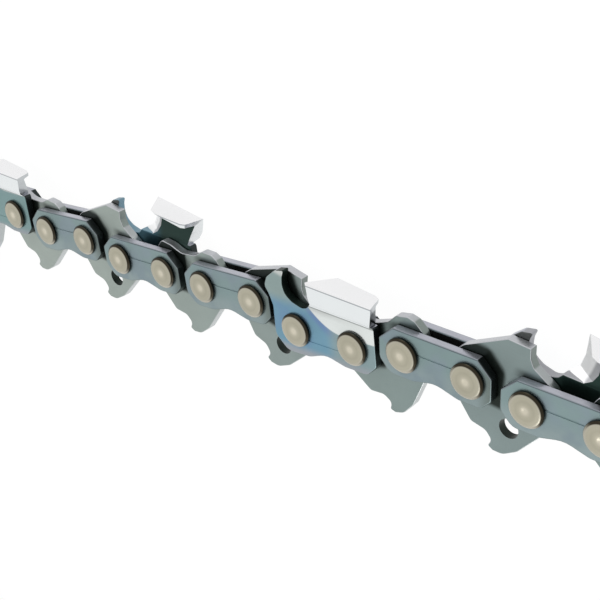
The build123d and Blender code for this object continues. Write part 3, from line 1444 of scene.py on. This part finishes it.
@dataclass
class Studio:
    """White studio with a pale floor, camera and lamps.

    Attributes:
        aim: the middle rivet of the run, in metres.
        stand: the camera's place from the face of that rivet's near head, in millimetres.
        right: the picture's right, in the part's frame.
        up: the picture's up.
        fov: angle of view, in degrees.
        clip: nearest and farthest distance that the camera sees, in metres.
        fill: the world's strength as diffuse light.
        floor_size: width of the floor, in metres.
        floor_grey: the floor's grey in diffuse light.
        shadow_grey: the grey that keeps its shadow where the camera or a reflection looks.
        glow: its glow there.
        lamps: the soft lamps.
    """

    aim: Vector
    stand: Corner = (108.675, 80.534, 103.224)
    right: Corner = (0.74426, -0.06206, -0.665)
    up: Corner = (-0.27618, 0.87796, -0.39103)
    fov: float = 27.94
    clip: Point = (0.005, 10)
    fill: float = 0.6
    floor_size: float = 3.0
    floor_grey: float = 0.8
    shadow_grey: float = 0.1
    glow: float = 0.95
    lamps: tuple[Lamp, ...] = (Lamp("key_lamp", (-160, 220, 160), 120, 0.3),
                               Lamp("side_lamp", (-30, -210, 55), 90, 0.08))

    def axes(self) -> tuple[Vector, Vector, Vector]:
        """The picture's right, its up and the way back to the camera."""
        right, up = Vector(self.right).normalized(), Vector(self.up).normalized()
        return right, up, right.cross(up)

    def camera(self) -> None:
        """Set the camera as the photograph was taken."""
        data = bpy.data.cameras.new("camera")
        data.angle = math.radians(self.fov)
        data.clip_start, data.clip_end = self.clip
        camera = new_object("camera", data)
        face = self.aim + Vector((0, 0, LAYERS.head_top * MM))
        turn = Matrix(self.axes()).transposed().to_4x4()
        camera.matrix_world = Matrix.Translation(face + Vector(self.stand) * MM) @ turn
        bpy.context.scene.camera = camera

    @staticmethod
    def seen(board: NodeBoard) -> Socket:
        """Where the camera or a reflection looks."""
        path = board.add("ShaderNodeLightPath").outputs
        return board.either(path["Is Camera Ray"], path["Is Glossy Ray"], path["Is Transmission Ray"])

    def world(self) -> None:
        """White all round for the camera and for reflections, softer for diffuse light."""
        world = bpy.data.worlds.new("white_studio")
        bpy.context.scene.world = world
        board = NodeBoard.of(world)
        strength = board.line(self.seen(board), 1 - self.fill, self.fill)
        background = board.add("ShaderNodeBackground", {"Color": (1, 1, 1, 1), "Strength": strength})
        board.add("ShaderNodeOutputWorld", {"Surface": background.outputs["Background"]})

    def floor(self) -> None:
        """Lay a pale floor that keeps a faint shadow."""
        Workbench.clear()
        bpy.ops.mesh.primitive_grid_add(x_subdivisions=2, y_subdivisions=2, size=self.floor_size)
        floor = bpy.context.object
        floor.name = "floor"
        material = bpy.data.materials.new("pale_floor")
        board = NodeBoard.of(material)
        matt, faint = (board.add("ShaderNodeBsdfDiffuse", {"Color": (grey, grey, grey, 1)}).outputs["BSDF"]
                       for grey in (self.floor_grey, self.shadow_grey))
        glow = board.add("ShaderNodeEmission", {"Strength": self.glow}).outputs["Emission"]
        white = board.add("ShaderNodeAddShader", {0: faint, 1: glow}).outputs["Shader"]
        choice = board.add("ShaderNodeMixShader", {0: self.seen(board), 1: matt, 2: white})
        board.add("ShaderNodeOutputMaterial", {"Surface": choice.outputs["Shader"]})
        floor.data.materials.append(material)

    def hang(self, lamp: Lamp) -> None:
        """Put a lamp in its place.

        Args:
            lamp: the lamp.
        """
        away = sum((axis * step for axis, step in zip(self.axes(), lamp.place)), Vector()) * MM
        data = bpy.data.lights.new(lamp.name, "AREA")
        data.size, data.energy = lamp.size * MM, lamp.power
        light = new_object(lamp.name, data)
        light.location = self.aim + away
        light.rotation_mode = "QUATERNION"
        light.rotation_quaternion = (-away).to_track_quat("-Z", "Y")

    def build(self) -> None:
        """Set up camera, floor and light."""
        self.camera()
        self.world()
        self.floor()
        for lamp in self.lamps:
            self.hang(lamp)
        bpy.context.scene.view_settings.view_transform = "Standard"
        log.info("studio is set round the rivet at %s", tuple(self.aim))


def main() -> None:
    """Build the dressed chain and its studio."""
    logging.basicConfig(level=logging.INFO, format="%(message)s")
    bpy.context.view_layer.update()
    loop = ChainLoop(Finishes())
    loop.make_patterns()
    loop.dress()
    Studio(ChainLoop.pivots()[MIDDLE_RIVET]).build()
    bpy.context.view_layer.update()


if __name__ == "__main__":
    main()
